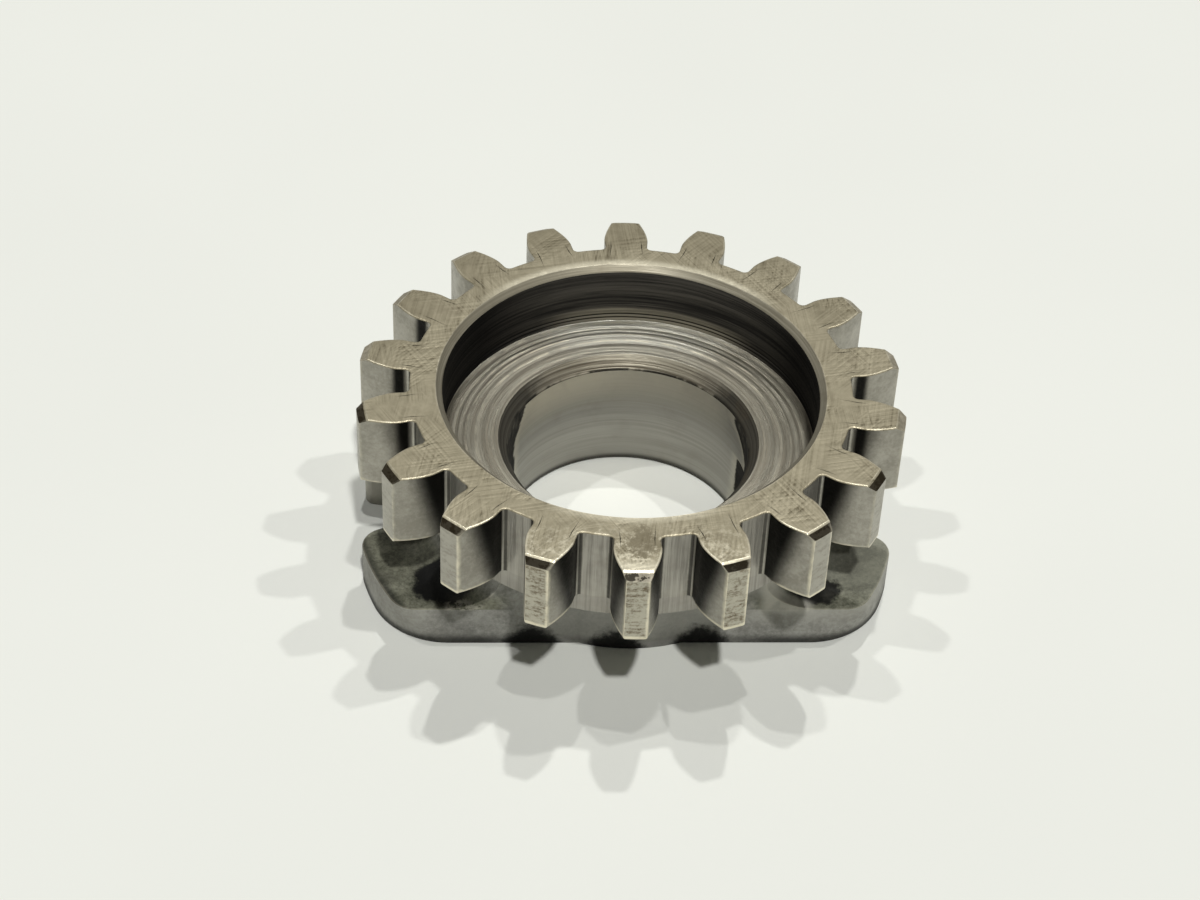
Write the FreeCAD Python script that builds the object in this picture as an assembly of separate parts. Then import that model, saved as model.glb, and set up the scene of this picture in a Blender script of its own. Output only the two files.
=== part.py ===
import FreeCAD, Part
import math
import os

# Magneto drive gear, one solid piece of steel, in millimetres.
# A ring of stub spur teeth stands on a shoulder and a neck. Below them is a round drive flange
# with two flats and two slots. A bore runs through, with a counterbore in the toothed end.
# The origin is the centre of the flange's flat underside. +Z runs up the bore towards the teeth,
# and one tooth is centred over -Y.

INCH = 25.4

# Teeth
tooth_count = 18
tooth_module = INCH / 10  # pitch diameter for each tooth
addendum = INCH / 12  # short, as on all stub teeth
dedendum_ratio = 1.30  # depth below the pitch circle, for each addendum
pressure_angle = 20.0  # degrees
backlash_thinning = 0.22
root_fillet = 0.5
tip_chamfer_width = 0.8
tip_chamfer_drop = 0.55

# Heights, from the flange's underside up
flange_thickness = 4.4
flange_fillet = 3.5
neck_length = 0.93  # straight part of the neck, above the fillet
shoulder_taper_drop = 0.6
shoulder_chamfer_drop = 0.3
shoulder_band = 1.9  # plain band of the root circle under the teeth
face_width = 7.42

# Neck and drive flange
shoulder_chamfer_width = 0.3
neck_radius = 18.5
flange_overhang = 6.75  # from the neck to the flange's rim
hub_radius = 14.9
flat_distance = 14.15  # from the axis to each flat
flat_turn = 1.05  # degrees by which the flats are turned against the teeth
corner_radius_top = 2.5
corner_radius_bottom = 7.5

# Drive slots in the flange, on the X axis
slot_width = 0.3125 * INCH
slot_floor_step = 0.75  # from the neck to the slots' floors
slot_floor_radius = 1.0
slot_mouth_radius_front = 2.2
slot_mouth_radius_rear = 1.0

# Bore and counterbore
bore_radius = 0.4375 * INCH
bore_chamfer = 0.3
lead_in_width = 0.93
lead_in_drop = 1.3
counterbore_radius = 17.13
counterbore_depth = 6.45
mouth_chamfer = 0.6

# How far a cutter runs past the surface that it cuts
overrun = 1.0
# How near two points must be to count as one
tolerance = 0.001

# Sizes that follow from those above
pitch_radius = tooth_count * tooth_module / 2
tip_radius = pitch_radius + addendum
root_radius = pitch_radius - dedendum_ratio * addendum
base_radius = pitch_radius * math.cos(math.radians(pressure_angle))
tooth_pitch = 2 * math.pi / tooth_count
fillet_top = flange_thickness + flange_fillet
neck_top = fillet_top + neck_length
flat_top = neck_top + shoulder_taper_drop
shoulder_bottom = flat_top + shoulder_chamfer_drop
tooth_bottom = shoulder_bottom + shoulder_band
overall_height = tooth_bottom + face_width
flange_radius = neck_radius + flange_overhang
counterbore_floor = overall_height - counterbore_depth


def polar(radius, angle):
    """Point in the XY plane at a radius and an angle from +X in radians."""
    return FreeCAD.Vector(radius * math.cos(angle), radius * math.sin(angle), 0)


def section(radius, height):
    """Point in the XZ plane, where turned profiles are drawn."""
    return FreeCAD.Vector(radius, 0, height)


def turned(edges):
    """Solid turned about Z from a closed profile in the XZ plane."""
    axis = FreeCAD.Vector(0, 0, 1)
    return Part.Face(Part.Wire(edges)).revolve(FreeCAD.Vector(), axis, 360)


def polyline(points):
    """Straight edges from each point to the next."""
    return [Part.LineSegment(start, end).toShape() for start, end in zip(points, points[1:])]


def involute(angle):
    """Involute function of an angle in radians."""
    return math.tan(angle) - angle


def flank_angle(radius):
    """Angle between a tooth's centre line and its flank at a radius outside the base circle."""
    thickness = tooth_pitch * pitch_radius / 2 - backlash_thinning
    at_pitch = thickness / 2 / pitch_radius
    return at_pitch + involute(math.radians(pressure_angle)) - involute(math.acos(base_radius / radius))


def flank(centre, side, reach):
    """Involute flank from the base circle out to a reach, on one side of a tooth."""
    steps = 6
    radii = [base_radius + (reach - base_radius) * step / steps for step in range(steps + 1)]
    points = [polar(radius, centre + side * flank_angle(radius)) for radius in radii]
    curve = Part.BSplineCurve()
    curve.interpolate(points)
    return curve.toShape()


def root_corner(centre, side):
    """Fillet between the root circle and the straight foot of a flank, with its two end points."""
    foot = centre + side * flank_angle(base_radius)
    fillet_centre_radius = root_radius + root_fillet
    swing = side * math.asin(root_fillet / fillet_centre_radius)
    on_root = polar(root_radius, foot + swing)
    foot_radius = math.sqrt(fillet_centre_radius**2 - root_fillet**2)
    on_foot = polar(foot_radius, foot)
    fillet_centre = polar(fillet_centre_radius, foot + swing)
    towards_corner = (on_root + on_foot) * 0.5 - fillet_centre
    middle = fillet_centre + towards_corner.normalize() * root_fillet
    return on_root, on_foot, Part.Arc(on_root, middle, on_foot).toShape()


def tooth_edges(centre, reach):
    """One tooth and the root land that follows it, anticlockwise."""
    on_root, on_foot, right_corner = root_corner(centre, -1)
    left_root, left_foot, left_corner = root_corner(centre, 1)
    next_root = root_corner(centre + tooth_pitch, -1)[0]
    base_half = flank_angle(base_radius)
    tip_half = flank_angle(reach)
    right_base = polar(base_radius, centre - base_half)
    left_base = polar(base_radius, centre + base_half)
    tip = Part.Arc(polar(reach, centre - tip_half), polar(reach, centre), polar(reach, centre + tip_half))
    land_middle = polar(root_radius, centre + tooth_pitch / 2)
    return [
        right_corner,
        Part.LineSegment(on_foot, right_base).toShape(),
        flank(centre, -1, reach),
        tip.toShape(),
        flank(centre, 1, reach),
        Part.LineSegment(left_base, left_foot).toShape(),
        left_corner,
        Part.Arc(left_root, land_middle, next_root).toShape(),
    ]


def toothed_ring():
    """Turned gear blank with its tip chamfer, trimmed to the toothed outline."""
    chamfer_inner = tip_radius - tip_chamfer_width
    chamfer_foot = overall_height - tip_chamfer_drop
    blank = turned(
        polyline(
            [
                section(0, tooth_bottom),
                section(tip_radius, tooth_bottom),
                section(tip_radius, chamfer_foot),
                section(chamfer_inner, overall_height),
                section(0, overall_height),
                section(0, tooth_bottom),
            ]
        )
    )
    edges = []
    for tooth in range(tooth_count):
        centre = -math.pi / 2 + tooth * tooth_pitch
        edges += tooth_edges(centre, tip_radius + overrun / 2)
    outline = Part.Face(Part.Wire(Part.__sortEdges__(edges)))
    cutter = outline.extrude(FreeCAD.Vector(0, 0, face_width + 2 * overrun))
    cutter.translate(FreeCAD.Vector(0, 0, tooth_bottom - overrun))
    return blank.common(cutter)


def turned_body():
    """Flange, concave fillet, neck and shoulder in one turned profile."""
    centre = section(neck_radius + flange_fillet, fillet_top)
    diagonal = flange_fillet * math.sqrt(0.5)
    foot = section(centre.x, flange_thickness)
    middle = centre - FreeCAD.Vector(diagonal, 0, diagonal)
    top = section(neck_radius, fillet_top)
    below = polyline(
        [
            section(0, 0),
            section(flange_radius, 0),
            section(flange_radius, flange_thickness),
            foot,
        ]
    )
    above = polyline(
        [
            top,
            section(neck_radius, neck_top),
            section(root_radius - shoulder_chamfer_width, flat_top),
            section(root_radius, shoulder_bottom),
            section(root_radius, tooth_bottom),
            section(0, tooth_bottom),
            section(0, 0),
        ]
    )
    fillet = Part.Arc(foot, middle, top).toShape()
    return turned(below + [fillet] + above)


def box_between(low, high):
    """Box from its low corner to its high corner."""
    size = high - low
    return Part.makeBox(size.x, size.y, size.z, low)


def cut_flats(body):
    """Mill the two flats through the flange and the neck, up to the shoulder."""
    reach = flange_radius + overrun
    cutter = box_between(
        FreeCAD.Vector(-reach, flat_distance, -overrun),
        FreeCAD.Vector(reach, reach, flat_top),
    )
    opposite = cutter.copy()
    opposite.rotate(FreeCAD.Vector(), FreeCAD.Vector(0, 0, 1), 180)
    return body.cut(cutter).cut(opposite)


def rim_edges(body, half_width, sides):
    """Upright edges of the flange's rim at a distance from the X axis, on sides -1, 1 or both."""
    found = []
    for edge in body.Edges:
        ends = [vertex.Point for vertex in edge.Vertexes]
        upright = len(ends) == 2 and math.dist(ends[0][:2], ends[1][:2]) < tolerance
        on_rim = abs(math.hypot(ends[0].x, ends[0].y) - flange_radius) < tolerance
        at_width = any(abs(ends[0].y - side * half_width) < tolerance for side in sides)
        if upright and on_rim and at_width:
            found.append(edge)
    return found


def round_corners(body):
    """Round the corners between rim and flats, widely at the bottom and tightly at the top."""
    corners = rim_edges(body, flat_distance, (-1, 1))
    return body.makeFillet(corner_radius_bottom, corner_radius_top, corners)


def drive_slot():
    """Cutter for the slot on the +X side, with rounded inner corners."""
    floor = neck_radius + slot_floor_step
    cutter = box_between(
        FreeCAD.Vector(floor, -slot_width / 2, -overrun),
        FreeCAD.Vector(flange_radius + overrun, slot_width / 2, fillet_top),
    )
    inner = [edge for edge in cutter.Edges if all(abs(v.X - floor) < 0.001 for v in edge.Vertexes)]
    upright = [edge for edge in inner if abs(edge.Vertexes[0].Z - edge.Vertexes[1].Z) > overrun]
    return cutter.makeFillet(slot_floor_radius, upright)


def cut_slots(body):
    """Cut both drive slots and round their mouths."""
    right = drive_slot()
    left = right.copy()
    left.rotate(FreeCAD.Vector(), FreeCAD.Vector(0, 0, 1), 180)
    body = body.cut(right).cut(left)
    body = body.makeFillet(slot_mouth_radius_front, rim_edges(body, slot_width / 2, (-1,)))
    return body.makeFillet(slot_mouth_radius_rear, rim_edges(body, slot_width / 2, (1,)))


def hollow():
    """Cutter for the bore, its lead-in, the counterbore and the mouth chamfer."""
    return turned(
        polyline(
            [
                section(0, -overrun),
                section(bore_radius + bore_chamfer + overrun, -overrun),
                section(bore_radius, bore_chamfer),
                section(bore_radius, counterbore_floor - lead_in_drop),
                section(bore_radius + lead_in_width, counterbore_floor),
                section(counterbore_radius, counterbore_floor),
                section(counterbore_radius, overall_height - mouth_chamfer),
                section(counterbore_radius + mouth_chamfer + overrun, overall_height + overrun),
                section(0, overall_height + overrun),
                section(0, -overrun),
            ]
        )
    )


def magneto_drive_gear():
    """The whole gear as one solid."""
    body = round_corners(cut_flats(turned_body()))
    body.rotate(FreeCAD.Vector(), FreeCAD.Vector(0, 0, 1), flat_turn)
    body = cut_slots(body)
    hub = Part.makeCylinder(hub_radius, tooth_bottom)
    whole = body.fuse([hub, toothed_ring()]).cut(hollow())
    return whole.removeSplitter()


os.makedirs("parts", exist_ok=True)
gear = magneto_drive_gear()
gear.exportStep("parts/magneto_drive_gear.step")
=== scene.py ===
"""Magneto drive gear: one machined steel piece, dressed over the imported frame.

The gear is one closed skin in two grids. The upper grid runs from the bore's lead-in over the
counterbore, the top face and the teeth to the shoulder. The lower grid runs from the shoulder
over the neck and the drive flange to the bore's foot. Two bands of triangles join their rings.
"""

import logging
import math
from dataclasses import dataclass, field
from enum import IntEnum

import bmesh
import bpy
import numpy as np
from mathutils import Matrix, Vector

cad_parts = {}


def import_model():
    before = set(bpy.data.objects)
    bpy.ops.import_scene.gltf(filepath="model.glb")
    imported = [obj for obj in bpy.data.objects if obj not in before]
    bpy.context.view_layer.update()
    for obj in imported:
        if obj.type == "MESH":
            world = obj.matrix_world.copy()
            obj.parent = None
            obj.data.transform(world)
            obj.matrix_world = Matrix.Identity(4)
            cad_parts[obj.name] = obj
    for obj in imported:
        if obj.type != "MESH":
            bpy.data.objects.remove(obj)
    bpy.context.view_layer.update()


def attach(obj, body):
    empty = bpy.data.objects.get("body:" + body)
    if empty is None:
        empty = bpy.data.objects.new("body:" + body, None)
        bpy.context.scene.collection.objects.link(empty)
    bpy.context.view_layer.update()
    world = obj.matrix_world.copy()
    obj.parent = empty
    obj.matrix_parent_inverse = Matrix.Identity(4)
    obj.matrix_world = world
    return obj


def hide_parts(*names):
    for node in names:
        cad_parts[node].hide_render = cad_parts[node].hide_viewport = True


Array = np.ndarray
Colour = tuple[float, float, float]
Socket = bpy.types.NodeSocket
LOG = logging.getLogger("magneto_drive_gear")
MM = 0.001
INCH = 25.4
TINY = 1e-6
LEAST_GROWTH = 1e-9
BEYOND_RIM = 100.0
MERGE_DISTANCE = 5e-7
SHARP_ANGLE = math.radians(38.0)
NODE = "magneto_drive_gear"
# Value on each point for a bright edge: worn metal and painted highlight.
WEAR_AND_HIGHLIGHT = "edge_wear_and_highlight"


class Zone(IntEnum):
    """Parts of the skin, each with a finish of its own."""

    TOP_FACE = 0
    TIP_CHAMFER = 1
    TIP_LAND = 2
    FLANK = 3
    ROOT_LAND = 4
    UNDERSIDE = 5
    MOUTH = 6
    COUNTERBORE_WALL = 7
    COUNTERBORE_FLOOR = 8
    LEAD_IN = 9
    BORE = 10
    FLANGE = 11
    SHOULDER = 12


@dataclass(frozen=True)
class Patch:
    """A grid of points with a zone for each face and a value of wear and painted highlight for each point."""

    points: Array
    zones: Array
    worn_and_highlit: Array


def smoothstep(low: float, high: float, value: Array) -> Array:
    """Rise from 0 to 1 between two values as s^2 (3 - 2s), with a level start and end."""
    share = np.clip((value - low) / (high - low), 0.0, 1.0)
    return share * share * (3.0 - 2.0 * share)


def ring_points(radius: Array | float, angle: Array, height: Array | float) -> Array:
    """Points of cylinder coordinates: x = r cos(a), y = r sin(a), z = h.

    Args:
        radius: Distances from the axis, in millimetres.
        angle: Angles from +X, in radians.
        height: Heights, in millimetres.

    Returns:
        The points, with x, y and z on the last axis.
    """
    radius, angle, height = np.broadcast_arrays(radius, angle, height)
    return np.stack([radius * np.cos(angle), radius * np.sin(angle), height], axis=-1)


def across(rows: Array | list | tuple, columns: int) -> Array:
    """One value for each row, repeated over the columns."""
    return np.repeat(np.asarray(rows)[:, None], columns, axis=1)


def dips(places: Array, centres: tuple[float, ...], depths: Array | float, width: float) -> Array:
    """Depth of soft grooves at each place, each depth times exp(-(distance / width)^2)."""
    away = (places[:, None] - np.array(centres)) / width
    return (depths * np.exp(-(away**2))).sum(axis=1)


def fold(angle: Array) -> Array:
    """Angle folded into the first quarter turn, for a form that is alike in all four."""
    return np.arctan2(np.abs(np.sin(angle)), np.abs(np.cos(angle)))


def ray_reach(angle: Array, centre: Array | complex, radius: Array | float, side: float = 1.0) -> Array:
    """Distance along a ray to a circle: c.d + side sqrt(R^2 - (c x d)^2), for the ray's direction d.

    Args:
        angle: Angle of each ray, in radians.
        centre: The circle's centre c as a complex number.
        radius: The circle's radius R.
        side: 1 for the far side of the circle, or -1 for the near side.

    Returns:
        The distance from the axis along each ray.
    """
    seen = centre * np.exp(-1j * angle)
    return seen.real + side * np.sqrt(np.maximum(radius**2 - seen.imag**2, 0.0))


def rounded(start: Array, corner: Array, end: Array) -> Array:
    """Four rows that round a corner: (1-b)^2 start + 2b(1-b) corner + b^2 end, for b up to 1."""
    bend = np.array([0.25, 0.5, 0.75, 1.0])[:, None, None]
    return (1 - bend) ** 2 * start + 2 * bend * (1 - bend) * corner + bend**2 * end


@dataclass
class ToothedRing:
    """Counterbore, top face, teeth and shoulder, in millimetres and degrees."""

    tooth_count: int = 18
    tooth_module: float = INCH / 10
    addendum: float = INCH / 12
    dedendum_ratio: float = 1.30
    pressure_angle: float = 20.0
    backlash_thinning: float = 0.22
    root_fillet: float = 0.5
    tip_chamfer_width: float = 0.8
    tip_chamfer_drop: float = 0.55
    bottom: float = 11.63
    top: float = 0.75 * INCH
    bore_radius: float = 0.4375 * INCH
    lead_in_width: float = 0.93
    lead_in_drop: float = 1.3
    counterbore_radius: float = 17.13
    counterbore_depth: float = 6.45
    mouth_chamfer: float = 0.6
    edge_radius: float = 0.12
    ring_drop: float = 0.6
    land_steps: int = 4
    fillet_steps: int = 4
    foot_steps: int = 1
    flank_steps: int = 9
    corner_steps: int = 3
    tip_steps: int = 3
    groove_radii: tuple[float, ...] = (12.6, 13.0, 13.7, 14.5, 15.3, 16.06)
    groove_depths: tuple[float, ...] = (0.02, 0.03, 0.04, 0.03, 0.05, 0.12)
    groove_width: float = 0.16
    foot_groove_heights: tuple[float, ...] = (12.95, 13.4)
    foot_groove_depth: float = 0.09
    foot_groove_width: float = 0.12
    beside_groove: float = 0.17
    floor_rows: tuple[float, ...] = (12.2, 13.35, 14.1, 14.9, 15.68, 16.55, 16.85)
    lead_in_shares: tuple[float, ...] = (0.0, 0.08, 0.5, 0.92)
    mouth_shares: tuple[float, ...] = (0.04, 0.2, 0.8, 0.96)
    face_shares: tuple[float, ...] = (0.0, 0.04, 0.3, 0.6, 0.85)
    face_distances: tuple[float, ...] = (0.5, 0.22, 0.08)
    under_shares: tuple[float, ...] = (0.03, 0.5, 1.0)
    # Rows of the bright-edge value, for worn metal and painted highlight.
    lead_in_wear: tuple[float, ...] = (0.6, 0.3, 0.1, 0.3, 0.7)
    mouth_wear: tuple[float, ...] = (0.8, 0.1, 0.2, 1.0)
    face_wear: tuple[float, ...] = (1.0, 0.3, 0.0, 0.0, 0.0, 0.03, 0.14, 0.45)
    top_edge_wear: tuple[float, ...] = (1.0, 1.0, 0.8, 0.3)
    side_row_wear: tuple[float, ...] = (0.0, 0.2, 0.7, 0.3, 0.0, 0.0, 0.0, 0.0)
    low_edge_wear: tuple[float, ...] = (1.2, 1.5, 1.2, 0.4)
    cone_wear: float = 0.15
    corner_wear: float = 0.8

    @property
    def pitch_radius(self) -> float:
        """Radius of the pitch circle."""
        return self.tooth_count * self.tooth_module / 2

    @property
    def tip_radius(self) -> float:
        """Radius of the tooth tips."""
        return self.pitch_radius + self.addendum

    @property
    def root_radius(self) -> float:
        """Radius of the root lands and of the shoulder."""
        return self.pitch_radius - self.dedendum_ratio * self.addendum

    @property
    def base_radius(self) -> float:
        """Radius of the involutes' base circle."""
        return self.pitch_radius * math.cos(math.radians(self.pressure_angle))

    @property
    def floor(self) -> float:
        """Height of the counterbore's floor."""
        return self.top - self.counterbore_depth

    @property
    def foot_angle(self) -> float:
        """Half a tooth's angle at the base circle."""
        return float(self.flank_angle(np.array(self.base_radius)))

    @property
    def fillet_swing(self) -> float:
        """Angle that a root fillet takes up on the root circle."""
        return math.asin(self.root_fillet / (self.root_radius + self.root_fillet))

    @property
    def centres(self) -> Array:
        """Angle of each tooth's centre line, the first of them towards -Y."""
        return -math.pi / 2 + 2 * math.pi / self.tooth_count * np.arange(self.tooth_count)

    @property
    def columns_per_tooth(self) -> int:
        """Number of grid columns on one tooth and its two half lands."""
        steps = self.land_steps + self.fillet_steps + self.foot_steps + self.flank_steps
        return 2 * (steps + self.corner_steps + self.tip_steps)

    def flank_angle(self, radius: Array) -> Array:
        """Half a tooth's angle at a radius, from the involute formula inv(a) = tan(a) - a.

        Args:
            radius: Radii on the flank, in millimetres.

        Returns:
            The angle between the flank and the tooth's centre line at each radius.
        """
        pressure = math.radians(self.pressure_angle)
        spacing = 2 * math.pi * self.pitch_radius / self.tooth_count
        at_pitch = (spacing / 2 - self.backlash_thinning) / 2 / self.pitch_radius
        reach = np.arccos(np.minimum(self.base_radius / radius, 1.0))
        return at_pitch + math.tan(pressure) - pressure - (np.tan(reach) - reach)

    def half_tooth(self, tip: Array) -> tuple[Array, Array]:
        """Half of a tooth's outline, from the middle of a root land to the tip's centre.

        The outline is the root circle, a fillet's arc, a radial foot, an involute, a rounded
        corner and the tip's arc. Each stretch has the same number of points for any tip radius.

        Args:
            tip: Tip radius for each row, as a column.

        Returns:
            Radii and angles from the tooth's centre line, one row for each tip radius.
        """
        rows = (len(tip), 1)
        middle = self.root_radius + self.root_fillet
        land_end = self.foot_angle + self.fillet_swing
        land_angles = np.linspace(math.pi / self.tooth_count, land_end, self.land_steps, endpoint=False)
        turn = np.linspace(0.0, math.pi / 2 - self.fillet_swing, self.fillet_steps, endpoint=False)
        fillet = middle * np.exp(1j * land_end) - self.root_fillet * np.exp(1j * (land_end + turn))
        foot_start = math.sqrt(middle**2 - self.root_fillet**2)
        foot_radii = np.linspace(foot_start, self.base_radius, self.foot_steps, endpoint=False)
        fixed_radii = np.concatenate([np.full(self.land_steps, self.root_radius), np.abs(fillet), foot_radii])
        foot_angles = np.full(self.foot_steps, self.foot_angle)
        fixed_angles = np.concatenate([land_angles, np.angle(fillet), foot_angles])
        corner = self.edge_radius
        flank_share = np.linspace(0.0, 1.0, self.flank_steps, endpoint=False)
        flank_radii = self.base_radius + (tip - corner - self.base_radius) * flank_share
        bend = np.linspace(0.0, math.pi / 2, self.corner_steps, endpoint=False)
        corner_radii = tip - corner + corner * np.sin(bend)
        at_corner = self.flank_angle(tip - corner)
        corner_angles = at_corner - corner / tip * (1.0 - np.cos(bend))
        tip_angles = (at_corner - corner / tip) * np.linspace(1.0, 0.0, self.tip_steps + 1)
        tip_radii = np.broadcast_to(tip, tip_angles.shape)
        radii = [np.tile(fixed_radii, rows), flank_radii, corner_radii, tip_radii]
        angles = [np.tile(fixed_angles, rows), self.flank_angle(flank_radii), corner_angles, tip_angles]
        return np.concatenate(radii, axis=1), np.concatenate(angles, axis=1)

    def outline(self, tip: Array) -> tuple[Array, Array]:
        """Closed outline of all teeth, anticlockwise, one row for each tip radius.

        Args:
            tip: Tip radius for each row, as a column.

        Returns:
            Radii and angles of the outline's points.
        """
        radii, angles = self.half_tooth(tip)
        tooth_radii = np.concatenate([radii, radii[:, -2:0:-1]], axis=1)
        tooth_angles = np.concatenate([-angles, angles[:, -2:0:-1]], axis=1)
        all_angles = (self.centres[None, :, None] + tooth_angles[:, None, :]).reshape(len(tip), -1)
        return np.tile(tooth_radii, (1, self.tooth_count)), all_angles

    def ring_angles(self) -> Array:
        """Angles of the columns where the skin is round.

        Root lands keep their own angles, and a tooth's columns are spread evenly over its foot.

        Returns:
            The angles of one row, in radians.
        """
        edge = self.foot_angle + self.fillet_swing
        land = np.linspace(-math.pi / self.tooth_count, -edge, self.land_steps, endpoint=False)
        tooth = np.linspace(-edge, edge, self.columns_per_tooth - 2 * self.land_steps + 1)
        one = np.concatenate([land, tooth, -land[:0:-1]])
        return (self.centres[:, None] + one).reshape(-1)

    def column_zones(self) -> Array:
        """Zone of each column on the teeth's sides: root land, flank or tip land.

        Returns:
            One zone for each column of the ring.
        """
        tip_start = self.land_steps + self.fillet_steps + self.foot_steps + self.flank_steps + 1
        index = np.arange(self.columns_per_tooth)
        from_end = np.minimum(index, index[::-1])
        zone = np.full(index.shape, int(Zone.FLANK))
        zone[from_end < self.land_steps] = Zone.ROOT_LAND
        zone[from_end >= tip_start] = Zone.TIP_LAND
        return np.tile(zone, self.tooth_count)

    def round_rows(self) -> tuple[Array, Array, Array, Array]:
        """Turned profile from the top of the bore to the outer edge of the mouth chamfer.

        Returns:
            Radius, height, zone and wear of each row.
        """
        lead = np.array(self.lead_in_shares)
        lead_heights = self.floor - self.lead_in_drop * (1.0 - lead)
        floor_inner = self.bore_radius + self.lead_in_width
        beside = np.array(self.groove_radii)[:, None] + self.beside_groove * np.array([-1.0, 0.0, 1.0])
        ends = [floor_inner, self.counterbore_radius - 0.04]
        floor = np.sort(np.concatenate([beside.reshape(-1), self.floor_rows, ends]))
        wall_top = self.top - self.mouth_chamfer
        foot = np.linspace(self.floor + 0.03, self.floor + 1.3, 11)
        wall = np.concatenate([foot, [self.floor + 3.0, wall_top - self.edge_radius]])
        wall_dips = dips(wall, self.foot_groove_heights, self.foot_groove_depth, self.foot_groove_width)
        floor_dips = dips(floor, self.groove_radii, np.array(self.groove_depths), self.groove_width)
        mouth = self.mouth_chamfer * np.array(self.mouth_shares)
        stretches = (
            (Zone.LEAD_IN, self.bore_radius + self.lead_in_width * lead, lead_heights),
            (Zone.COUNTERBORE_FLOOR, floor, self.floor - floor_dips),
            (Zone.COUNTERBORE_WALL, self.counterbore_radius + wall_dips, wall),
            (Zone.MOUTH, self.counterbore_radius + mouth, wall_top + mouth),
        )
        zones = np.concatenate([np.full(len(radii), int(zone)) for zone, radii, _ in stretches])
        worn_and_highlit = np.zeros(len(zones))
        worn_and_highlit[: len(lead) + 1] = self.lead_in_wear
        worn_and_highlit[-len(mouth) :] = self.mouth_wear
        radii = np.concatenate([stretch[1] for stretch in stretches])
        heights = np.concatenate([stretch[2] for stretch in stretches])
        return radii, heights, zones, worn_and_highlit

    def tooth_rows(self) -> tuple[Array, Array, Array]:
        """Rows down the teeth, from the top face's edge to the underside's edge.

        Returns:
            Height, inset from the full outline, which rounds the edges, and wear of each row.
        """
        bend = np.linspace(0.0, math.pi / 2, 4)
        near = self.edge_radius * (1.0 - np.cos(bend))
        far = self.edge_radius * (1.0 - np.sin(bend))
        foot = self.top - self.tip_chamfer_drop
        lower = np.linspace(foot - 0.3, self.bottom + 0.5, 4)
        sides = [self.top - 0.3, foot + 0.06, foot, foot - 0.06, *lower]
        heights = np.concatenate([self.top - near, sides, self.bottom + far])
        insets = np.concatenate([far, np.zeros(len(sides)), near])
        worn_and_highlit = np.concatenate([self.top_edge_wear, self.side_row_wear, self.low_edge_wear])
        return heights, insets, worn_and_highlit

    def tip_at(self, heights: Array | float) -> Array:
        """Tip radius at each height: the tip circle, cut by the chamfer's cone.

        Args:
            heights: Heights, in millimetres.

        Returns:
            The smaller of the circle's and the cone's radius.
        """
        slope = self.tip_chamfer_width / self.tip_chamfer_drop
        cone = self.tip_radius - self.tip_chamfer_width + slope * (self.top - heights)
        return np.minimum(cone, self.tip_radius)

    def inset_points(self, radii: Array, angles: Array, insets: Array, heights: Array) -> Array:
        """Outline points moved inwards along their normals.

        Args:
            radii: Radii of the outline, one row for each height.
            angles: Angles of the outline.
            insets: Inward distances, one for each point.
            heights: Height of each row, as a column.

        Returns:
            The points of the grid.
        """
        points = ring_points(radii, angles, heights)
        tangent = np.roll(points, -1, axis=1)[..., :2] - np.roll(points, 1, axis=1)[..., :2]
        tangent /= np.linalg.norm(tangent, axis=-1, keepdims=True)
        points[..., :2] -= np.stack([tangent[..., 1], -tangent[..., 0]], axis=-1) * insets[..., None]
        return points

    def side_wear(self, levels: Array, wear: Array, zones: Array, radii: Array) -> Array:
        """Wear on the teeth's sides, which is strongest on the tips' edges and corners.

        Args:
            levels: Height of each row.
            wear: Wear of each row.
            zones: Zone of each column.
            radii: Outline radius of each point.

        Returns:
            The wear of each point.
        """
        at_tip = zones == Zone.TIP_LAND
        worn_and_highlit = across(wear, len(zones))
        on_cone = (levels > self.top - self.tip_chamfer_drop - 0.1) & (levels < self.top - 0.2)
        worn_and_highlit[np.ix_(on_cone, ~at_tip)] = self.cone_wear
        corner = np.abs(self.tip_at(levels)[:, None] - radii) < 2.0 * self.edge_radius
        mid_tip = np.roll(at_tip, 2) & np.roll(at_tip, -2)
        worn_and_highlit = np.where(corner & ~mid_tip, np.maximum(worn_and_highlit, self.corner_wear), worn_and_highlit)
        worn_and_highlit[np.ix_(levels < self.bottom + self.edge_radius, zones == Zone.ROOT_LAND)] = 0.0
        return worn_and_highlit

    def patch(self) -> Patch:
        """The upper grid, from the top of the bore to the shoulder.

        Returns:
            The grid's points, zones, and wear with painted highlight.
        """
        around = self.ring_angles()
        count = len(around)
        radii, heights, row_zones, row_worn = self.round_rows()
        inner = ring_points(radii[:, None], around, heights[:, None])

        levels, insets, wear = self.tooth_rows()
        outline_radii, outline_angles = self.outline((self.tip_at(levels) + insets)[:, None])
        lift = smoothstep(0.0, self.root_fillet, outline_radii - self.root_radius)
        low = levels[:, None] < self.bottom + self.edge_radius
        inset_grid = insets[:, None] * np.where(low, lift, 1.0)
        sides = self.inset_points(outline_radii, outline_angles, inset_grid, levels[:, None])

        near = self.towards_spine(sides[0], np.array(self.face_distances))
        mouth = ring_points(self.counterbore_radius + self.mouth_chamfer, around, self.top)
        face_shares = np.array(self.face_shares)[:, None, None]
        face = np.concatenate([mouth + (near[0] - mouth) * face_shares, near])
        shoulder = ring_points(self.root_radius, around, self.bottom)
        under = sides[-1] + (shoulder - sides[-1]) * np.array(self.under_shares)[:, None, None]
        drops = np.array([0.05, self.ring_drop])[:, None]
        band = ring_points(self.root_radius, around, self.bottom - drops)
        points = np.concatenate([inner, face, sides, under, band])

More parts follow.
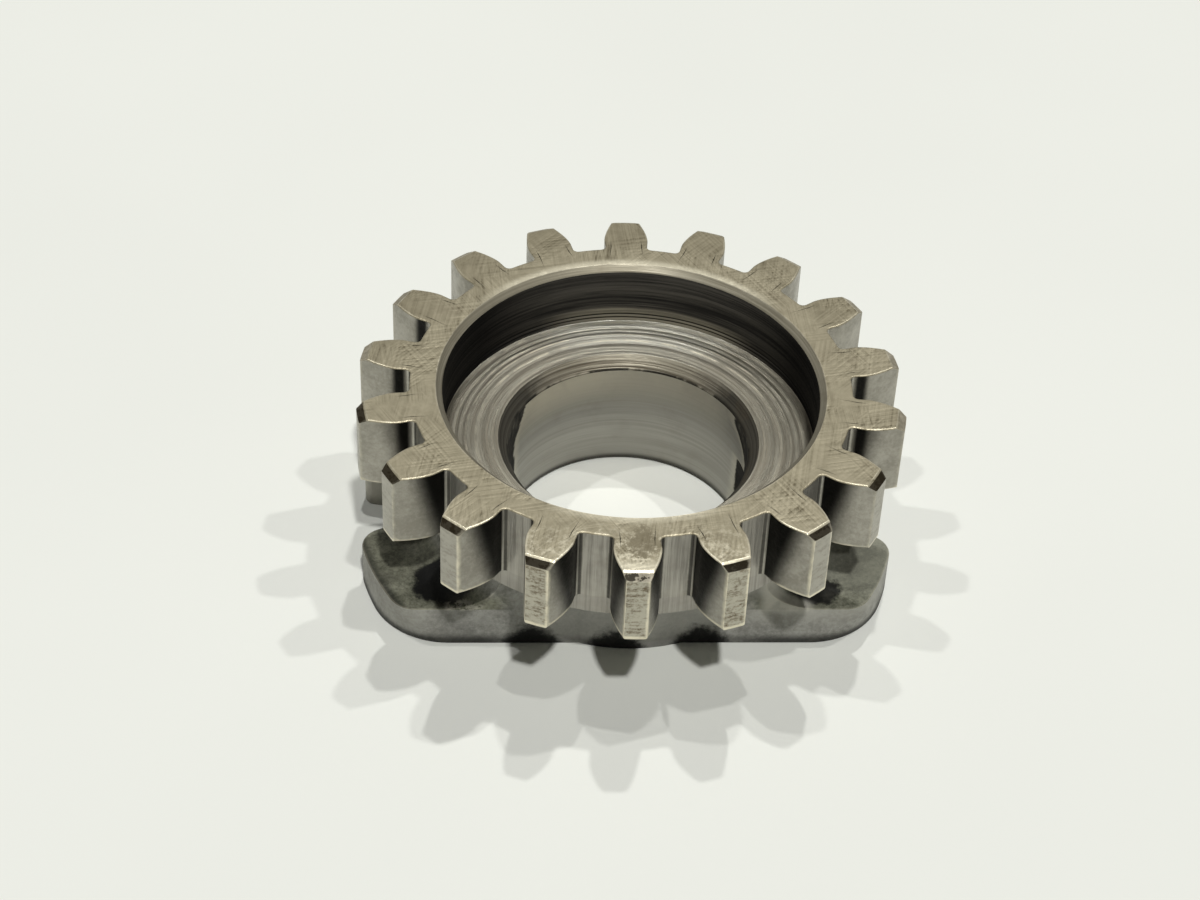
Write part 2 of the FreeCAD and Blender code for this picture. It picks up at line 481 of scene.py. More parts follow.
        zones = self.column_zones()
        rubbed_and_lit = 0.1 + 0.9 * smoothstep(20.4, 22.6, outline_radii)
        face_worn = across(self.face_wear, count)
        face_worn[1:] *= rubbed_and_lit[:1]
        side_worn = self.side_wear(levels, wear, zones, outline_radii) * rubbed_and_lit
        plain = np.zeros((len(under) + len(band), count))
        worn_and_highlit = np.concatenate([across(row_worn, count), face_worn, side_worn, plain])
        # Stronger towards -Y, where the front lamp falls: painted highlight.
        worn_and_highlit *= 0.58 + 0.5 * smoothstep(12.0, 23.0, -points[..., 1])
        above = [*row_zones, *[Zone.TOP_FACE] * (len(face) + 3)]
        below = [Zone.UNDERSIDE] * len(under) + [Zone.SHOULDER] * len(band)
        on_chamfer = levels[3:-1, None] > self.top - self.tip_chamfer_drop + 0.01
        beside = np.where(on_chamfer & (zones == Zone.TIP_LAND), int(Zone.TIP_CHAMFER), zones)
        rows = [across(above, count), beside, across(below, count)]
        return Patch(points, np.concatenate(rows), worn_and_highlit)

    def towards_spine(self, edge: Array, distances: Array) -> Array:
        """Rows beside the top face's edge, moved inwards without crossing each other.

        A point on a tooth moves towards the tooth's centre line, and a point on a root land moves
        towards the axis.

        Args:
            edge: Points of the top face's edge.
            distances: Distance from the edge for each row.

        Returns:
            One row of points for each distance.
        """
        radius = np.hypot(edge[:, 0], edge[:, 1])
        angle = np.arctan2(edge[:, 1], edge[:, 0])
        pitch = 2 * math.pi / self.tooth_count
        centre = -math.pi / 2 + pitch * np.round((angle + math.pi / 2) / pitch)
        spine = ring_points(np.minimum(radius, self.tip_at(self.top) - 1.1), centre, edge[:, 2])
        inwards = ring_points(radius - 1.0, angle, edge[:, 2])
        on_tooth = smoothstep(self.root_radius - 0.2, self.root_radius + 1.2, radius)[:, None]
        aim = inwards + (spine - inwards) * on_tooth - edge
        aim /= np.linalg.norm(aim, axis=-1, keepdims=True)
        return edge + aim * distances[:, None, None]


@dataclass
class DriveFlange:
    """Shoulder foot, neck, flange with flats and slots, underside and bore foot, in millimetres."""

    shoulder_radius: float = 20.108
    shoulder_bottom: float = 9.73
    shoulder_chamfer: float = 0.3
    taper_drop: float = 0.6
    neck_radius: float = 18.5
    flange_radius: float = 25.25
    flange_thickness: float = 4.4
    flange_fillet: float = 3.5
    hub_radius: float = 14.9
    flat_distance: float = 14.15
    flat_turn: float = 1.05
    corner_radius_top: float = 2.5
    corner_radius_bottom: float = 7.5
    slot_width: float = 0.3125 * INCH
    slot_floor: float = 19.25
    slot_floor_radius: float = 1.0
    slot_mouth_front: float = 2.2
    slot_mouth_rear: float = 1.0
    bore_radius: float = 0.4375 * INCH
    bore_chamfer: float = 0.3
    edge_radius: float = 0.13
    column_count: int = 640
    curve_rows: int = 22
    curve_power: float = 0.8
    ledge_shares: tuple[float, ...] = (0.04, 0.5, 1.0)
    wall_shares: tuple[float, ...] = (0.06, 0.35, 0.65, 0.94, 1.0)
    under_shares: tuple[float, ...] = (0.03, 0.35, 0.7, 0.99, 1.0)
    bore_foot: float = 0.5
    shoulder_wear: float = 0.4
    edge_wear: tuple[float, ...] = (0.5, 1.0, 1.0, 1.0, 0.5)

    @property
    def flat_top(self) -> float:
        """Height at which the flats end under the shoulder."""
        return self.shoulder_bottom - self.shoulder_chamfer

    def wall(self, angle: Array, height: Array | float) -> Array:
        """Radius of the flange's side wall at an angle and a height.

        The wall is the rim's circle, cut by the flats and the slots, with rounded corners, and
        the hub's circle where that stands proud of a flat.

        Args:
            angle: Angles from +X, in radians.
            height: Heights, in millimetres.

        Returns:
            The wall's distance from the axis.
        """
        folded = fold(angle - math.radians(self.flat_turn))
        share = np.clip(height / self.flange_thickness, 0.0, 1.0)
        arc = self.corner_radius_bottom + (self.corner_radius_top - self.corner_radius_bottom) * share
        radius = np.minimum(self.flange_radius, self.flat_distance / np.maximum(np.sin(folded), TINY))
        up = self.flat_distance - arc
        centre = np.sqrt((self.flange_radius - arc) ** 2 - up**2) + 1j * up
        at_arc = (folded > np.angle(centre)) & (folded < np.arctan2(self.flat_distance, centre.real))
        radius = np.where(at_arc, ray_reach(folded, centre, arc), radius)
        return np.minimum(np.maximum(radius, self.hub_radius), self.slot_wall(angle))

    def slot_wall(self, angle: Array) -> Array:
        """Radius at which a ray leaves the metal in or beside a drive slot.

        Args:
            angle: Angles from +X, in radians.

        Returns:
            The slot's floor, side or rounded corner, or a radius beyond the rim.
        """
        half = self.slot_width / 2
        folded = fold(angle)
        floor = self.slot_floor / np.maximum(np.cos(folded), TINY)
        side = half / np.maximum(np.sin(folded), TINY)
        radius = np.where(folded < math.atan2(half, self.slot_floor), floor, side)
        bend = self.slot_floor_radius
        centre = complex(self.slot_floor + bend, half - bend)
        low, high = math.atan2(centre.imag, self.slot_floor), math.atan2(half, centre.real)
        in_corner = (folded > low) & (folded < high)
        radius = np.where(in_corner, ray_reach(folded, centre, bend, -1.0), radius)
        mouth = np.where(np.sin(angle) < 0, self.slot_mouth_front, self.slot_mouth_rear)
        centre = np.sqrt((self.flange_radius - mouth) ** 2 - (half + mouth) ** 2) + 1j * (half + mouth)
        at_mouth = (folded > np.arctan2(half, centre.real)) & (folded < np.angle(centre))
        radius = np.where(at_mouth, ray_reach(folded, centre, mouth), radius)
        return np.where(folded >= np.angle(centre), BEYOND_RIM, radius)

    def column_angles(self) -> Array:
        """Angles of the columns, closer together where the wall turns or runs inwards.

        Returns:
            Rising angles, in radians.
        """
        fine = np.linspace(-math.pi, math.pi, 36001)
        points = ring_points(self.wall(fine, self.flange_thickness), fine, 0.0)
        legs = np.diff(points, axis=0)
        step = np.linalg.norm(legs, axis=1)
        heading = np.unwrap(np.arctan2(legs[:, 1], legs[:, 0]))
        turn = np.abs(np.diff(heading, prepend=heading[:1]))
        weight = np.minimum(step, 0.5) + 1.2 * turn + 0.012 * np.diff(fine) * 180
        run = np.append(0.0, np.cumsum(weight))
        return np.interp(np.linspace(0.0, run[-1], self.column_count, endpoint=False), run, fine)

    def upper_curve(self) -> tuple[Array, Array]:
        """Turned profile of taper, neck, fillet and flange top.

        Returns:
            Radii and heights of the profile's points.
        """
        taper = np.array([0.0, 0.5, 1.0])
        shoulder = self.shoulder_radius - self.shoulder_chamfer
        bend = np.linspace(0.0, math.pi / 2, 60)
        fillet_radii = self.neck_radius + self.flange_fillet * (1.0 - np.cos(bend))
        fillet_heights = self.flange_thickness + self.flange_fillet * (1.0 - np.sin(bend))
        top_radii = np.linspace(fillet_radii[-1] + 0.1, self.flange_radius + 0.2, 40)
        top_heights = np.full(len(top_radii), self.flange_thickness)
        radii = [shoulder + (self.neck_radius - shoulder) * taper, fillet_radii, top_radii]
        heights = [self.flat_top - self.taper_drop * taper, fillet_heights, top_heights]
        return np.concatenate(radii), np.concatenate(heights)

    def curve_ends(self, around: Array, radii: Array, heights: Array, run: Array) -> Array:
        """Length along the upper curve at which each column meets the side wall.

        Args:
            around: Angle of each column.
            radii: Radii of the upper curve's points.
            heights: Heights of the upper curve's points.
            run: Length along the upper curve to each of its points.

        Returns:
            The length for each column, never short of the neck's foot.
        """
        neck_run = float(np.interp(-self.flange_thickness - self.flange_fillet, -heights, run))
        gap = radii[:, None] - self.wall(around, np.minimum(heights, self.flange_thickness)[:, None])
        beyond = (gap > 0.0) & (run[:, None] > neck_run)
        first = np.where(beyond.any(axis=0), beyond.argmax(axis=0), len(run) - 1)
        before = np.maximum(first - 1, 0)
        columns = np.arange(len(around))
        gap_before = gap[before, columns]
        growth = np.maximum(gap[first, columns] - gap_before, LEAST_GROWTH)
        share = np.clip(-gap_before / growth, 0.0, 1.0)
        return np.maximum(run[before] + (run[first] - run[before]) * share, neck_run)

    def patch(self) -> Patch:
        """The lower grid, from the shoulder's foot to the bore's foot.

        Returns:
            The grid's points, zones and wear.
        """
        around = self.column_angles()
        curve_radii, curve_heights = self.upper_curve()
        run = np.append(0.0, np.cumsum(np.hypot(np.diff(curve_radii), np.diff(curve_heights))))
        end_run = self.curve_ends(around, curve_radii, curve_heights, run)

        edge = self.edge_radius
        shoulder = self.shoulder_radius - self.shoulder_chamfer
        wall_top = self.wall(around, self.flange_thickness)
        ring = ring_points(self.shoulder_radius, around, self.shoulder_bottom)
        chamfer = ring_points(shoulder, around, self.flat_top)
        inwards = (np.minimum(shoulder, wall_top) - shoulder) * np.array(self.ledge_shares)[:, None]
        ledge = ring_points(shoulder + inwards, around, self.flat_top)
        curve_share = np.linspace(0.0, 1.0, self.curve_rows)[1:, None] ** self.curve_power
        curve_run = np.maximum(end_run - edge, 0.0) * curve_share
        curve_radius = np.minimum(np.interp(curve_run, run, curve_radii), wall_top)
        curve = ring_points(curve_radius, around, np.interp(curve_run, run, curve_heights))

        corner_z = np.interp(end_run, run, curve_heights)
        below_z = corner_z - edge
        corner = ring_points(wall_top, around, corner_z)
        top_edge = rounded(curve[-1], corner, ring_points(self.wall(around, below_z), around, below_z))
        wall_z = below_z + (edge - below_z) * np.array(self.wall_shares)[:, None]
        wall = ring_points(self.wall(around, wall_z), around, wall_z)
        foot = self.wall(around, 0.0)
        tucked = ring_points(foot - edge, around, 0.0)
        foot_edge = rounded(wall[-1], ring_points(foot, around, 0.0), tucked)
        share = np.array(self.under_shares)[:, None]
        under_radius = (foot - edge) * (1 - share) + (self.bore_radius + self.bore_chamfer) * share
        under = ring_points(under_radius, around, 0.0)
        bore = ring_points(self.bore_radius, around, np.array([self.bore_chamfer, self.bore_foot])[:, None])
        rows = [ring[None], chamfer[None], ledge, curve, top_edge, wall, foot_edge, under, bore]
        points = np.concatenate(rows)

        worn_and_highlit = np.zeros(points.shape[:2])
        start = 1 + len(ledge) + len(curve)
        worn_and_highlit[1] = self.shoulder_wear
        worn_and_highlit[start : start + len(self.edge_wear)] = np.array(self.edge_wear)[:, None]
        zones = [Zone.UNDERSIDE, *[Zone.FLANGE] * (len(points) - 3), Zone.BORE]
        return Patch(points, across(zones, len(around)), worn_and_highlit)


def grid_faces(grid: Array, first: int) -> Array:
    """Quads of a grid of points that is closed around its columns.

    Args:
        grid: Points of the grid, row by row.
        first: Index of the grid's first point.

    Returns:
        The quads, facing outwards.
    """
    index = first + np.arange(grid.shape[0] * grid.shape[1]).reshape(grid.shape[:2])
    following = np.roll(index, -1, axis=1)
    return np.stack([index[:-1], index[1:], following[1:], following[:-1]], axis=-1).reshape(-1, 4)


def band_faces(first: Array, second: Array, first_points: Array, second_points: Array) -> Array:
    """Triangles between two rings of points with different spacing.

    Both rings start near the same angle and rise. Each step along one ring makes a triangle with
    the point that the other ring has reached by then.

    Args:
        first: Rising angles of the ring that comes first along the skin.
        second: Rising angles of the ring that comes next.
        first_points: Index of each point of the first ring.
        second_points: Index of each point of the second ring.

    Returns:
        The triangles, facing outwards.
    """
    turn = 2 * math.pi
    second = second + turn * round((first[0] - second[0]) / turn)
    first_ends = np.append(first[1:], first[0] + turn)
    second_ends = np.append(second[1:], second[0] + turn)
    reached_second = np.searchsorted(second_ends, first_ends, side="left") % len(second)
    reached_first = np.searchsorted(first_ends, second_ends, side="right") % len(first)
    along_first = [first_points, second_points[reached_second], np.roll(first_points, -1)]
    along_second = [first_points[reached_first], second_points, np.roll(second_points, -1)]
    return np.concatenate([np.stack(along_first, axis=-1), np.stack(along_second, axis=-1)])


class Value:
    """A socket of numbers, with Python's operators as Math nodes."""

    def __init__(self, nodes: "Nodes", socket: Socket) -> None:
        """Wrap a socket of a node tree."""
        self.nodes = nodes
        self.socket = socket

    def _math(self, operation: str, *inputs: "Value | float") -> "Value":
        """Add one Math node."""
        return self.nodes.value("ShaderNodeMath", {"operation": operation}, dict(enumerate(inputs)))

    def __add__(self, other: "Value | float") -> "Value":
        """Sum."""
        return self._math("ADD", self, other)

    def __radd__(self, other: float) -> "Value":
        """Sum, with the number first."""
        return self._math("ADD", other, self)

    def __sub__(self, other: "Value | float") -> "Value":
        """Difference."""
        return self._math("SUBTRACT", self, other)

    def __rsub__(self, other: float) -> "Value":
        """Difference, with the number first."""
        return self._math("SUBTRACT", other, self)

    def __mul__(self, other: "Value | float") -> "Value":
        """Product."""
        return self._math("MULTIPLY", self, other)

    def __rmul__(self, other: float) -> "Value":
        """Product, with the number first."""
        return self._math("MULTIPLY", other, self)

    def __abs__(self) -> "Value":
        """Value without its sign."""
        return self._math("ABSOLUTE", self)

    def root(self) -> "Value":
        """Square root."""
        return self._math("SQRT", self)

    def clamp(self) -> "Value":
        """Keep the value between 0 and 1."""
        return self._math("MINIMUM", self._math("MAXIMUM", self, 0.0), 1.0)

    def step(self, start: float, end: float) -> "Value":
        """Go smoothly from 0 at the start to 1 at the end, whichever of the two is larger.

        Args:
            start: Value up to which the result is 0.
            end: Value from which the result is 1.

        Returns:
            The result of a Map Range node.
        """
        limits = {1: start, 2: end, 3: 0.0, 4: 1.0} if start < end else {1: end, 2: start, 3: 1.0, 4: 0.0}
        settings = {"interpolation_type": "SMOOTHSTEP"}
        return self.nodes.value("ShaderNodeMapRange", settings, {0: self, **limits})


class Nodes:
    """The node tree of a material or of the world, filled node by node."""

    def __init__(self, owner: bpy.types.Material | bpy.types.World) -> None:
        """Clear the owner's tree.

        Args:
            owner: Material or world that the nodes belong to.
        """
        owner.use_nodes = True
        self.owner = owner
        self.tree = owner.node_tree
        self.tree.nodes.clear()

    def node(self, kind: str, settings: dict, inputs: dict) -> bpy.types.Node:
        """Add a node.

        Args:
            kind: The node's type name.
            settings: Attributes of the node, set before its inputs.
            inputs: Value, socket or Value object for each input's name or index.

        Returns:
            The node.
        """
        node = self.tree.nodes.new(kind)
        for name, setting in settings.items():
            setattr(node, name, setting)
        for key, given in inputs.items():
            source = given.socket if isinstance(given, Value) else given
            if isinstance(source, Socket):
                self.tree.links.new(source, node.inputs[key])
            else:
                node.inputs[key].default_value = source
        return node

    def value(self, kind: str, settings: dict, inputs: dict) -> Value:
        """Add a node and wrap its first output."""
        return Value(self, self.node(kind, settings, inputs).outputs[0])


class Shader(Nodes):
    """A material's node tree, with places in millimetres."""

    def __init__(self, name: str) -> None:
        """Make the material and its coordinates.

        Args:
            name: The material's name.
        """
        super().__init__(bpy.data.materials.new(name))
        place = self.node("ShaderNodeTexCoord", {}, {}).outputs["Object"]
        split = self.node("ShaderNodeSeparateXYZ", {}, {0: place})
        self.x, self.y, self.z = (Value(self, socket) * (1.0 / MM) for socket in split.outputs)
        self.radius = (self.x * self.x + self.y * self.y).root()
        self.axes = (self.x, self.y, self.z, self.radius)
        self.point = self.vector(self.x, self.y, self.z)

    def vector(self, x: Value | float, y: Value | float, z: Value | float) -> Socket:
        """Vector of three values."""
        return self.node("ShaderNodeCombineXYZ", {}, {0: x, 1: y, 2: z}).outputs[0]

    def noise(
        self, scale: float, detail: float = 3.0, rough: float = 0.55, place: Socket | None = None
    ) -> Value:
        """Noise between 0 and 1.

        Args:
            scale: Waves for each unit of the place.
            detail: Number of finer layers.
            rough: Weight of each finer layer.
            place: Where the noise is read, or nothing for the point in millimetres.

        Returns:
            The noise.
        """
        inputs = {"Vector": place or self.point, "Scale": scale, "Detail": detail, "Roughness": rough}
        return self.value("ShaderNodeTexNoise", {"noise_dimensions": "3D"}, inputs)

    def attribute(self, name: str) -> Value:
        """Value that the mesh carries for each point."""
        return Value(self, self.node("ShaderNodeAttribute", {"attribute_name": name}, {}).outputs["Fac"])

    def mix(self, share: Value | float, first: Colour | Socket, second: Colour | Socket) -> Socket:
        """Blend two colours.

        Args:
            share: Share of the second colour, between 0 and 1.
            first: Colour where the share is 0.
            second: Colour where the share is 1.

        Returns:
            The blended colour.
        """
        ends = [(*given, 1.0) if isinstance(given, tuple) else given for given in (first, second)]
        inputs = {0: share, 6: ends[0], 7: ends[1]}
        return self.node("ShaderNodeMix", {"data_type": "RGBA"}, inputs).outputs[2]

    def layers(self, colour: Socket, *coats: "Coat") -> Socket:
        """Lay coats over a colour, each where and as far as its share says.

        Args:
            colour: Colour under the coats.
            coats: Share and colour of each coat, from the lowest to the highest.

        Returns:
            The colour on top.
        """
        for share, coat in coats:
            colour = self.mix(share, colour, coat)
        return colour

    def bump(self, height: Value, distance: float) -> Socket:
        """Normal of a surface raised by a height between 0 and 1 times a distance in metres."""
        inputs = {"Strength": 1.0, "Distance": distance, "Height": height}
        return self.node("ShaderNodeBump", {}, inputs).outputs[0]

    def finish(self, inputs: dict) -> bpy.types.Material:
        """Close the tree with a Principled shader.

        Args:
            inputs: Value, socket or Value object for each of the shader's inputs.

        Returns:
            The finished material.
        """
        surface = self.node("ShaderNodeBsdfPrincipled", {}, inputs)
        self.node("ShaderNodeOutputMaterial", {}, {"Surface": surface.outputs[0]})
        return self.owner


Coat = tuple[Value | float, Colour | Socket]


@dataclass(frozen=True)
class SteelFinish:
    """Soft clouds and grain on steel, under coats of its own, stains and bright edges of wear and painted
    highlight.
    """

    name: str
    dark: Colour
    light: Colour
    worn_and_highlit: Colour = (0.86, 0.8, 0.62)
    metallic: float = 0.7
    roughness: float = 0.42
    roughness_spread: float = 0.15
    worn_polish: float = 0.1
    film_roughness: float = 0.45
    stain: Colour = (0.09, 0.065, 0.035)
    stain_share: float = 0.25
    relief: float = 0.00002
    wear_share: float = 0.8
    specular: float = 0.5

    def pattern(self, shader: Shader) -> Value:
        """Tone and height of the marks, between 0 and 1."""
        return (shader.noise(0.26, 5.0, 0.65) * 0.6 + shader.noise(2.6, 3.0, 0.7) * 0.4).step(0.34, 0.66)

    def coats(self, shader: Shader, marks: Value) -> list[Coat]:
        """Coats under the stains."""
        return []

    def top_coats(self, shader: Shader) -> list[Coat]:
        """Coats over the stains."""
        return []

    def stained(self, shader: Shader) -> Value:
        """Share of stain, between 0 and 1."""
        return shader.noise(0.32, 4.0, 0.6).step(0.5, 0.75) * self.stain_share

    def film(self, shader: Shader) -> Value | float:
        """Share of a matt dark film over the steel, between 0 and 1."""
        return 0.0

    def wear(self, shader: Shader) -> Value:
        """Share of bright edge, worn metal with painted highlight, highest on the edges and broken into
        patches.
        """
        patches = shader.noise(0.9) * 1.3 + 0.25
        return (shader.attribute(WEAR_AND_HIGHLIGHT) * patches).step(0.25, 0.9) * self.wear_share

    def build(self) -> bpy.types.Material:
        """Make the material.

        Returns:
            The material, with its marks as tone, roughness and relief.
        """
        shader = Shader(self.name)
        marks = self.pattern(shader)
        film = self.film(shader)
        wear = self.wear(shader)
        colour = shader.layers(
            shader.mix(marks, self.dark, self.light),
            *self.coats(shader, marks),
            (self.stained(shader), self.stain),
            *self.top_coats(shader),
            (wear, self.worn_and_highlit),
        )
        rough = self.roughness + (0.5 - marks) * self.roughness_spread - wear * self.worn_polish
        inputs = {
            "Base Color": colour,
            "Metallic": self.metallic - film * self.metallic,
            "Roughness": rough + film * self.film_roughness,
            "Normal": shader.bump(marks, self.relief),
            "Specular IOR Level": self.specular,
        }
        return shader.finish(inputs)


@dataclass(frozen=True)
class ToothFlank(SteelFinish):
    """Flank with painted shade, partly dirt, black at its foot in front and at the sides, a dark seam and a
    painted glint.
    """

    # Black of the painted shade at the foot, partly dirt.
    foot: Colour = (0.0015, 0.0015, 0.001)
    seam: Colour = (0.012, 0.011, 0.009)
    glint: Colour = (0.62, 0.6, 0.52)

    def top_coats(self, shader: Shader) -> list[Coat]:
        """Painted shade, partly dirt, black at the foot and leaning outwards with height, and two upright
        lines at the root: a dark seam and a painted glint.

        Args:
            shader: The node tree.

        Returns:
            The painted shade at the foot, the seam and the painted glint.
        """
        x, y, z, radius = shader.axes
        depth = radius + abs(x) * 0.13 - (z - 15.5) * 0.27
        beside = radius.step(22.1, 21.4) * y.step(-8.0, -3.0)
        reach = depth.step(25.9, 23.4) * y.step(-3.0, -8.0) + beside * (y + x * 0.08).step(9.6, 7.8)
        inner = radius.step(20.5, 20.9) * y.step(-9.0, -5.0) + radius.step(20.33, 20.5) * y.step(-5.0, -9.0)
        return [
            # Painted shade at the foot, partly dirt.
            (reach * inner * 0.97, self.foot),
            (radius.step(20.3, 20.22) * radius.step(20.11, 20.14) * 0.8, self.seam),
            (radius.step(20.27, 20.33) * radius.step(20.5, 20.42) * 0.4, self.glint),
        ]


@dataclass(frozen=True)
class GroundFace(SteelFinish):
    """Ground face with long fine lines that cross each other, in patches."""

    scratch_and_shade: Colour = (0.1, 0.08, 0.04)
    families: tuple[tuple[float, float, float], ...] = (
        (80.0, 4.0, 0.0), (-58.0, 4.4, 7.3), (12.0, 3.6, 3.1), (-84.0, 5.0, 15.9), (47.0, 4.0, 11.7)
    )

    def lines(self, shader: Shader, turn: float, density: float, seed: float) -> Value:
        """Fine lines in one direction, in patches of a few millimetres.

        Args:
            shader: The node tree.
            turn: Direction of the lines from +X, in degrees.
            density: Lines for each millimetre.
            seed: Offset that sets this family of lines apart.

        Returns:
            Tone about zero, negative in the lines' hollows.
        """
        cos, sin = math.cos(math.radians(turn)), math.sin(math.radians(turn))
        along = (shader.x * cos + shader.y * sin) * 0.016
        across_lines = shader.y * cos - shader.x * sin
        fine = shader.noise(density, 1.5, 0.6, shader.vector(along, across_lines, seed)).step(0.3, 0.7)
        patch = shader.noise(0.16, 2.0, place=shader.vector(shader.x, shader.y, seed + 20.0)).step(0.46, 0.58)
        return (fine - 0.5) * patch

    def pattern(self, shader: Shader) -> Value:
        """Five families of lines over faint clouds."""
        total = sum(self.lines(shader, *family) for family in self.families)
        return (total * 0.36 + (shader.noise(0.5, 5.0, 0.75) - 0.5) * 1.1 + 0.52).clamp()

    def coats(self, shader: Shader, marks: Value) -> list[Coat]:
        """Brown in the deepest lines, painted highlight in gold towards -Y and on the front tips, painted
        shade on the rear teeth, and a painted highlight by the mouth.

        Args:
            shader: The node tree.
            marks: Tone of the lines.

        Returns:
            Share and colour of each coat.
        """
        x, y, _, radius = shader.axes
        specks = shader.noise(1.5, 4.0, 0.7).step(0.45, 0.7)
        smear = (abs(x - 0.4) + abs(y + 20.9) * 0.8 + (specks - 0.5) * 1.2).step(2.0, 1.0)
        rim = radius.step(18.7, 17.8) * (y.step(10.0, 16.0) * 0.95 + y.step(-16.0, -17.6) * 0.6)
        return [
            (marks.step(0.3, 0.05) * 0.45, self.scratch_and_shade),
            # Painted highlight in gold with specks towards -Y.
            (y.step(-16.0, -24.0) * specks * 0.75, self.worn_and_highlit),
            # Painted shade on the rear teeth's tops.
            (y.step(2.0, 12.0) * radius.step(19.6, 20.8) * 0.2, self.scratch_and_shade),
            # Painted highlight on the front tips.
            (y.step(-22.6, -23.8) * 0.6, self.worn_and_highlit),
            (smear * 0.45, self.scratch_and_shade),
            # Painted highlight by the mouth at the rear and the front.
            (rim * (specks * 0.35 + 0.65), self.worn_and_highlit),
        ]


@dataclass(frozen=True)
class TurnedSteel(SteelFinish):
    """Rings left by a turning tool, fine and broad."""

    fine: float = 4.2
    broad: float = 0.9
    waver: float = 0.022

    def pattern(self, shader: Shader) -> Value:
        """Rings that fade and return along their length.

        Args:
            shader: The node tree.

        Returns:
            Tone and height of the rings, between 0 and 1.
        """
        x, y, z, radius = shader.axes
        place = shader.vector(x * self.waver + radius, y * self.waver + z, 0.0)
        fine = shader.noise(self.fine, 4.0, 0.7, place)
        return (fine * 0.65 + shader.noise(self.broad, 2.0, place=place) * 0.35).step(0.36, 0.64)


@dataclass(frozen=True)
class TurnedFloor(TurnedSteel):
    """Coarse turned floor, with radius, width and share of its dark hollows and bright ridges, partly painted
    shade and highlight, and painted glare at the rear.
    """

    hollows: tuple[tuple[float, float, float], ...] = (
        (12.3, 0.1, 0.4), (13.4, 0.22, 0.5), (14.5, 0.12, 0.45),
        (15.25, 0.1, 0.65), (15.8, 0.07, 0.45), (16.4, 0.07, 0.45),
    )
    ridges: tuple[tuple[float, float, float], ...] = (
        (12.6, 0.08, 0.3), (14.1, 0.11, 0.6), (15.0, 0.08, 0.65),
        (15.55, 0.06, 0.45), (16.05, 0.06, 0.35), (16.8, 0.14, 0.5),
    )
    # Dark of the hollows and of the painted shade in the corner by the wall.
    corner: Colour = (0.045, 0.036, 0.022)
    glare: Colour = (0.92, 0.91, 0.8)

    def ring(self, radius: Value, place: float, width: float) -> Value:
        """Share of a soft ring about a radius."""
        away = radius - place
        return (away * away).step(2.2 * width * width, 0.2 * width * width)

    def coats(self, shader: Shader, marks: Value) -> list[Coat]:
        """Painted glare at the rear, dark hollows and bright ridges that come and go, both stronger at the
        rear and partly painted shade and highlight, and painted shade in the corner by the wall except at the
        rear.

        Args:
            shader: The node tree.
            marks: Not used.

        Returns:
            Share and colour of each coat.
        """
        x, y, _, radius = shader.axes
        # Painted glare on the rear of the floor.
        painted_glare = (y + x * 0.06 - radius * 0.72).step(0.7, 4.6) * (radius.step(13.3, 14.2) * 0.35 + 0.15)
        waver = radius + (shader.noise(0.45, 2.0) - 0.5) * 0.1
        rear = y.step(2.0, 12.0)
        strength = rear * 0.6 + 0.4
        broken = shader.noise(0.7).step(0.3, 0.6) * strength
        return [
            (painted_glare, self.glare),
            *((self.ring(waver, at, wide) * strength * part, self.corner) for at, wide, part in self.hollows),
            *((self.ring(waver, at, wide) * broken * part, self.worn_and_highlit) for at, wide, part in self.ridges),
            # Painted shade in the corner by the wall, except at the rear.
            (radius.step(16.1, 16.9) * (0.85 - rear * 0.85), self.corner),
        ]


@dataclass(frozen=True)
class ShadedWall(TurnedSteel):
    """Counterbore wall with painted shade, black at the sides, with two grooves and a paler foot at the rear.
    """

    foot: Colour = (0.3, 0.275, 0.21)
    # Black of the painted shade on the wall.
    dark_film: Colour = (0.0015, 0.0015, 0.0015)
    thin_dark_film: Colour = (0.009, 0.008, 0.007)
    grooves: tuple[float, ...] = (13.02, 13.42)

    def coats(self, shader: Shader, marks: Value) -> list[Coat]:
        """Painted shade as a black film that thins towards the rear, bare metal beside the grooves, and dark
        lines in the grooves.

        Args:
            shader: The node tree.
            marks: Tone of the rings.

        Returns:
            Share and colour of each coat.
        """
        x, y, z, _ = shader.axes
        bare = z.step(14.4, 13.9) * (y + x * 0.15).step(13.5, 17.0)
        return [
            # Painted shade, black at the sides and the front, thinning towards the rear.
            (1.0 - (y + x * 0.12).step(8.0, 17.4), shader.mix(marks, self.dark_film, self.thin_dark_film)),
            (bare * (marks * 0.5 + 0.5), self.foot),
            *((abs(z - height).step(0.13, 0.05) * 0.9, self.dark_film) for height in self.grooves),
        ]


